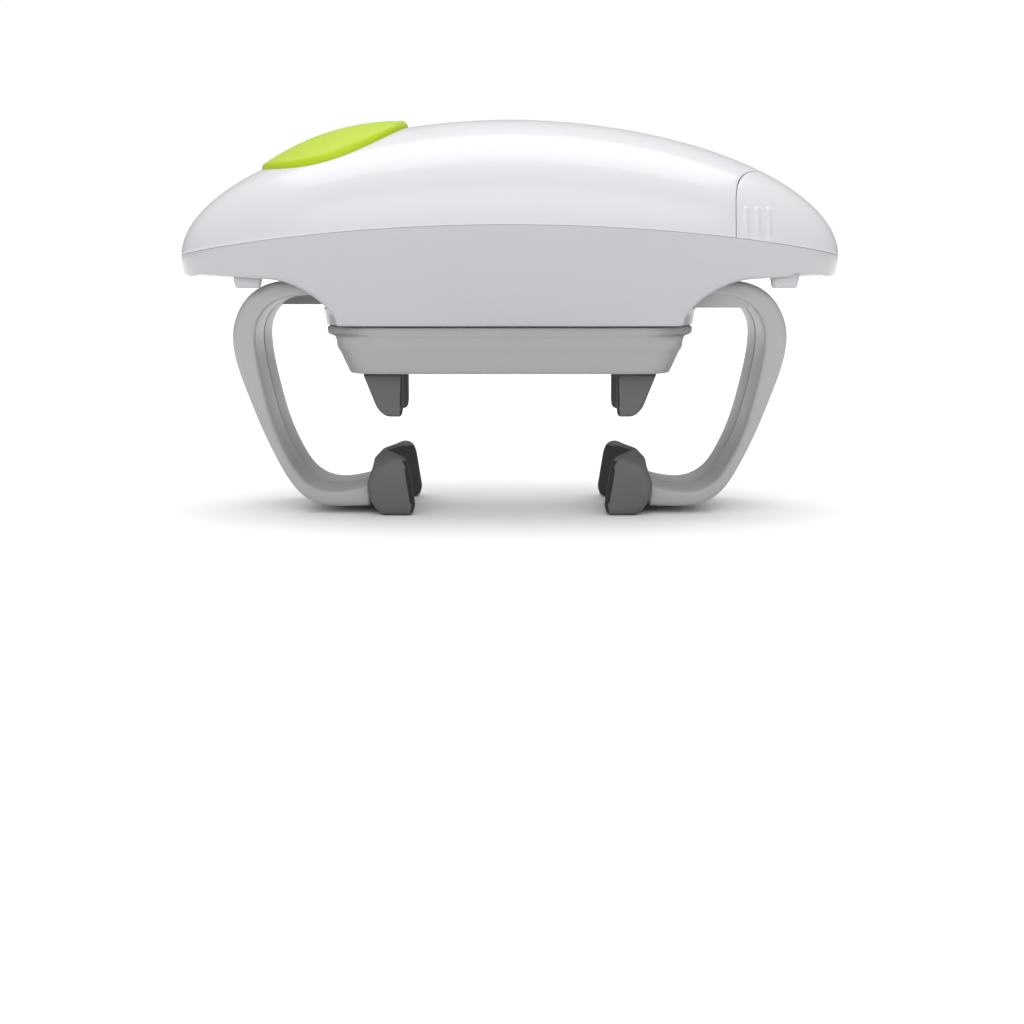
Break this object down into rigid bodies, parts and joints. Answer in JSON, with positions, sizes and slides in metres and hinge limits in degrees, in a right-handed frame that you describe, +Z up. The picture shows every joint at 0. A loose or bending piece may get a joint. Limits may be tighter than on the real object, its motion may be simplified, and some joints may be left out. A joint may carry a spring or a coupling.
{
  "type": "electric jar opener",
  "caption": "Hands-free battery jar opener: long rounded housing with a push button, two sliding C-shaped jar arms with V pads and a turning lid carriage with sliding jaws.",
  "frame": {"origin": "on the surface that the pads stand on, under the axis of the turning lid carriage", "axes": "+X along the housing towards the battery door, -Y the front, +Z up along the carriage's axis"},
  "size_m": [0.2102, 0.083, 0.1241],
  "materials": {
    "shell_white": "glossy, slightly cool white",
    "button_green": "satin lime green",
    "arm_grey": "satin mid grey",
    "carriage_grey": "satin mid grey",
    "pad_rubber": "matt dark grey",
    "gear_nylon": "natural nylon",
    "gearbox_grey": "matt dark grey",
    "steel": "plain",
    "motor_can": "zinc plated",
    "brass": "turned",
    "board_green": "solder mask",
    "switch_black": "moulded",
    "cell_wrap": "plain wrapped cell, no label",
    "contact_plate": "nickel plated"
  },
  "bodies": {
    "housing": {"upper_shell": "shell_white", "lower_shell": "shell_white", "button_spring": "steel", "control_board": "board_green", "button_switch": "switch_black", "rack_cover": "gearbox_grey", "gearbox_top": "gearbox_grey", "plate_spacers": "brass", "spacer_screws": "steel", "cover_screws": "steel", "gear_axles": "steel", "motor": "motor_can", "motor_screws": "steel", "battery_cells": "cell_wrap", "battery_tray": "gearbox_grey", "tray_contacts": "contact_plate", "housing_screws": "steel"},
    "battery_cover": {"battery_door": "shell_white", "door_contact": "contact_plate"},
    "button": {"power_button": "button_green"},
    "motor_rotor": {"motor_shaft": "steel", "motor_pinion": "brass"},
    "first_reduction": {"first_gear": "gear_nylon"},
    "second_reduction": {"second_gear": "gear_nylon"},
    "carriage": {"lid_carriage": "carriage_grey", "carriage_plate": "carriage_grey", "carriage_screws": "steel", "carriage_spindle": "gear_nylon", "spindle_washer": "steel", "output_gear": "gear_nylon"},
    "arm_drive": {"arm_pinion": "gear_nylon"},
    "jaw_drive": {"jaw_shaft": "steel", "jaw_pinion": "brass", "clutch_disc": "steel", "clutch_spring": "steel", "shaft_clip": "steel"},
    "left_jar_arm": {"left_arm": "arm_grey", "left_arm_rack": "arm_grey", "left_arm_pad": "pad_rubber", "left_rack_screws": "steel"},
    "left_lid_jaw": {"left_jaw_slide": "arm_grey", "left_jaw_grip": "pad_rubber"},
    "right_jar_arm": {"right_arm": "arm_grey", "right_arm_rack": "arm_grey", "right_arm_pad": "pad_rubber", "right_rack_screws": "steel"},
    "right_lid_jaw": {"right_jaw_slide": "arm_grey", "right_jaw_grip": "pad_rubber"}
  },
  "joints": [
    {"name": "carriage_turn", "type": "hinge", "parent": "housing", "child": "carriage", "pos_m": [0, 0, 0.06], "axis": [0, 0, 1], "continuous": true},
    {"name": "second_gear_spin", "type": "hinge", "parent": "housing", "child": "second_reduction", "pos_m": [0.012, -0.02078, 0.079], "axis": [0, 0, 1], "continuous": true},
    {"name": "first_gear_spin", "type": "hinge", "parent": "housing", "child": "first_reduction", "pos_m": [0.02601, -0.01392, 0.083], "axis": [0, 0, 1], "continuous": true},
    {"name": "motor_spin", "type": "hinge", "parent": "housing", "child": "motor_rotor", "pos_m": [0.0245, 0, 0.086], "axis": [0, 0, 1], "continuous": true},
    {"name": "left_arm_slide", "type": "slide", "parent": "housing", "child": "left_jar_arm", "axis": [-1, 0, 0], "range_m": [-0.012, 0.02]},
    {"name": "right_arm_slide", "type": "slide", "parent": "housing", "child": "right_jar_arm", "axis": [1, 0, 0], "range_m": [-0.012, 0.02]},
    {"name": "arm_pinion_turn", "type": "hinge", "parent": "housing", "child": "arm_drive", "pos_m": [0, 0, 0.068], "axis": [0, 0, 1], "range_deg": [-57.35, 95.54]},
    {"name": "left_jaw_slide", "type": "slide", "parent": "carriage", "child": "left_lid_jaw", "axis": [1, 0, 0], "range_m": [-0.003, 0.019]},
    {"name": "right_jaw_slide", "type": "slide", "parent": "carriage", "child": "right_lid_jaw", "axis": [-1, 0, 0], "range_m": [-0.003, 0.019]},
    {"name": "jaw_shaft_turn", "type": "hinge", "parent": "carriage", "child": "jaw_drive", "pos_m": [0, 0, 0.05], "axis": [0, 0, 1], "range_deg": [-28.7, 181.49]},
    {"name": "button_press", "type": "slide", "parent": "housing", "child": "button", "axis": [0.2974, 0, -0.9548], "range_m": [0, 0.002], "stiffness_N_per_m": 900, "springref_m": -0.0006, "deforming": ["button_spring"]},
    {"name": "door_slide", "type": "slide", "parent": "housing", "child": "battery_cover", "axis": [1, 0, 0], "range_m": [0, 0.06]}
  ],
  "couplings": [
    {"joint": "second_gear_spin", "follows": "carriage_turn", "ratio": -4},
    {"joint": "first_gear_spin", "follows": "carriage_turn", "ratio": 13.333},
    {"joint": "motor_spin", "follows": "carriage_turn", "ratio": -48.889},
    {"joint": "right_arm_slide", "follows": "left_arm_slide", "ratio": 1},
    {"joint": "arm_pinion_turn", "follows": "left_arm_slide", "rad_per_m": 83.333},
    {"joint": "right_jaw_slide", "follows": "left_jaw_slide", "ratio": 1},
    {"joint": "jaw_shaft_turn", "follows": "left_jaw_slide", "rad_per_m": 166.67}
  ]
}
